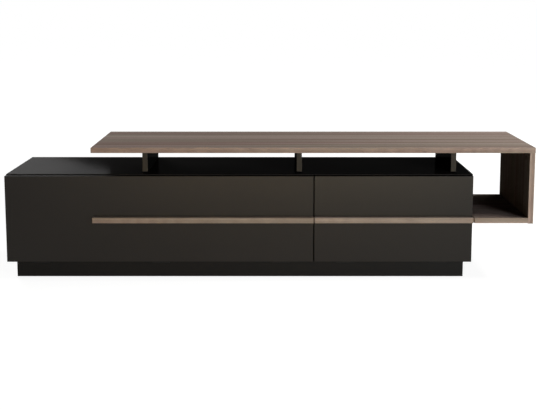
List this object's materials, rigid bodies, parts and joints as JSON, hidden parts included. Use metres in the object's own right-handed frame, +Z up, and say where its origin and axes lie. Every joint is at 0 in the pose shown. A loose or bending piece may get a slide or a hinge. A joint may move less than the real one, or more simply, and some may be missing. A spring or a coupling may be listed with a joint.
{
  "type": "tv cabinet",
  "caption": "Low media cabinet with drop-down flaps on friction stays, a recessed plinth and a raised walnut shelf that ends in an open cubby.",
  "frame": {"origin": "middle of the footprint, on the floor", "axes": "+X to the right seen from the front, the flaps face -Y, +Z up"},
  "size_m": [1.8, 0.35, 0.464],
  "materials": {
    "dark_body_board": "matt dark laminate on particle board",
    "dark_flap_board": "soft-touch matt dark brown laminate",
    "plinth_board": "matt black laminate",
    "back_board": "matt dark fibreboard",
    "walnut": "matt grey-brown walnut decor with fine straight grain",
    "cover_plastic": "matt brown cap",
    "beech": "raw fluted beech",
    "zinc": "die-cast zinc",
    "plated_steel": "nickel-plated steel",
    "blackened_steel": "black-coated steel",
    "black_plastic": "matt black plastic",
    "guide_plastic": "satin grey plastic",
    "buffer_rubber": "clear soft buffer"
  },
  "bodies": {
    "body": {"top_panel": "dark_body_board", "bottom_panel": "dark_body_board", "left_side": "dark_body_board", "partition": "dark_body_board", "right_side": "dark_body_board", "left_back_panel": "back_board", "right_back_panel": "back_board", "plinth_front": "plinth_board", "plinth_back": "plinth_board", "plinth_left": "plinth_board", "plinth_right": "plinth_board", "plinth_braces": "plinth_board", "shelf_board": "walnut", "cubby_side": "walnut", "cubby_bottom": "walnut", "left_spacer": "dark_body_board", "middle_spacer": "dark_body_board", "right_spacer": "dark_body_board", "dowels": "beech", "cam_locks": "zinc", "cam_bolts": "zinc", "cam_covers": "cover_plastic", "spacer_screws": "plated_steel", "cubby_screws": "plated_steel", "plinth_screws": "plated_steel", "hinge_body_leaves": "blackened_steel", "hinge_pins": "blackened_steel", "stay_plates": "plated_steel", "catch_housings": "black_plastic", "catch_magnets": "plated_steel", "body_screws": "plated_steel"},
    "left_flap": {"left_door": "dark_flap_board", "left_rail": "walnut", "left_hinge_leaves": "blackened_steel", "left_stay_brackets": "plated_steel", "left_strike_plates": "plated_steel", "left_buffers": "buffer_rubber", "left_door_screws": "plated_steel", "left_rail_screws": "plated_steel"},
    "right_flap": {"right_door": "dark_flap_board", "right_rail": "walnut", "right_hinge_leaves": "blackened_steel", "right_stay_bracket": "plated_steel", "right_strike_plate": "plated_steel", "right_buffers": "buffer_rubber", "right_door_screws": "plated_steel", "right_rail_screws": "plated_steel"},
    "left_outer_stay_guide": {"left_outer_stay_guide": "guide_plastic"},
    "left_inner_stay_guide": {"left_inner_stay_guide": "guide_plastic"},
    "right_stay_guide": {"right_stay_guide": "guide_plastic"},
    "left_outer_stay_rod": {"left_outer_stay_rod": "plated_steel"},
    "left_inner_stay_rod": {"left_inner_stay_rod": "plated_steel"},
    "right_stay_rod": {"right_stay_rod": "plated_steel"}
  },
  "joints": [
    {"name": "left_flap_hinge", "type": "hinge", "parent": "body", "child": "left_flap", "pos_m": [-0.3735, -0.138, 0.057], "axis": [1, 0, 0], "range_deg": [0, 90]},
    {"name": "right_flap_hinge", "type": "hinge", "parent": "body", "child": "right_flap", "pos_m": [0.4265, -0.138, 0.057], "axis": [1, 0, 0], "range_deg": [0, 90]},
    {"name": "left_outer_stay_guide_pivot", "type": "hinge", "parent": "body", "child": "left_outer_stay_guide", "pos_m": [-0.868, -0.05202, 0.17991], "axis": [1, 0, 0], "range_deg": [0, 45]},
    {"name": "left_outer_stay_rod_pivot", "type": "hinge", "parent": "left_flap", "child": "left_outer_stay_rod", "pos_m": [-0.868, -0.125, 0.20644], "axis": [1, 0, 0], "range_deg": [-45, 0]},
    {"name": "left_inner_stay_guide_pivot", "type": "hinge", "parent": "body", "child": "left_inner_stay_guide", "pos_m": [0.1315, -0.05202, 0.17991], "axis": [1, 0, 0], "range_deg": [0, 45]},
    {"name": "left_inner_stay_rod_pivot", "type": "hinge", "parent": "left_flap", "child": "left_inner_stay_rod", "pos_m": [0.1315, -0.125, 0.20644], "axis": [1, 0, 0], "range_deg": [-45, 0]},
    {"name": "right_stay_guide_pivot", "type": "hinge", "parent": "body", "child": "right_stay_guide", "pos_m": [0.668, -0.05202, 0.17991], "axis": [1, 0, 0], "range_deg": [0, 45]},
    {"name": "right_stay_rod_pivot", "type": "hinge", "parent": "right_flap", "child": "right_stay_rod", "pos_m": [0.668, -0.125, 0.20644], "axis": [1, 0, 0], "range_deg": [-45, 0]}
  ],
  "couplings": [
    {"joint": "left_outer_stay_guide_pivot", "follows": "left_flap_hinge", "ratio": 0.5},
    {"joint": "left_outer_stay_rod_pivot", "follows": "left_flap_hinge", "ratio": -0.5},
    {"joint": "left_inner_stay_guide_pivot", "follows": "left_flap_hinge", "ratio": 0.5},
    {"joint": "left_inner_stay_rod_pivot", "follows": "left_flap_hinge", "ratio": -0.5},
    {"joint": "right_stay_guide_pivot", "follows": "right_flap_hinge", "ratio": 0.5},
    {"joint": "right_stay_rod_pivot", "follows": "right_flap_hinge", "ratio": -0.5}
  ]
}
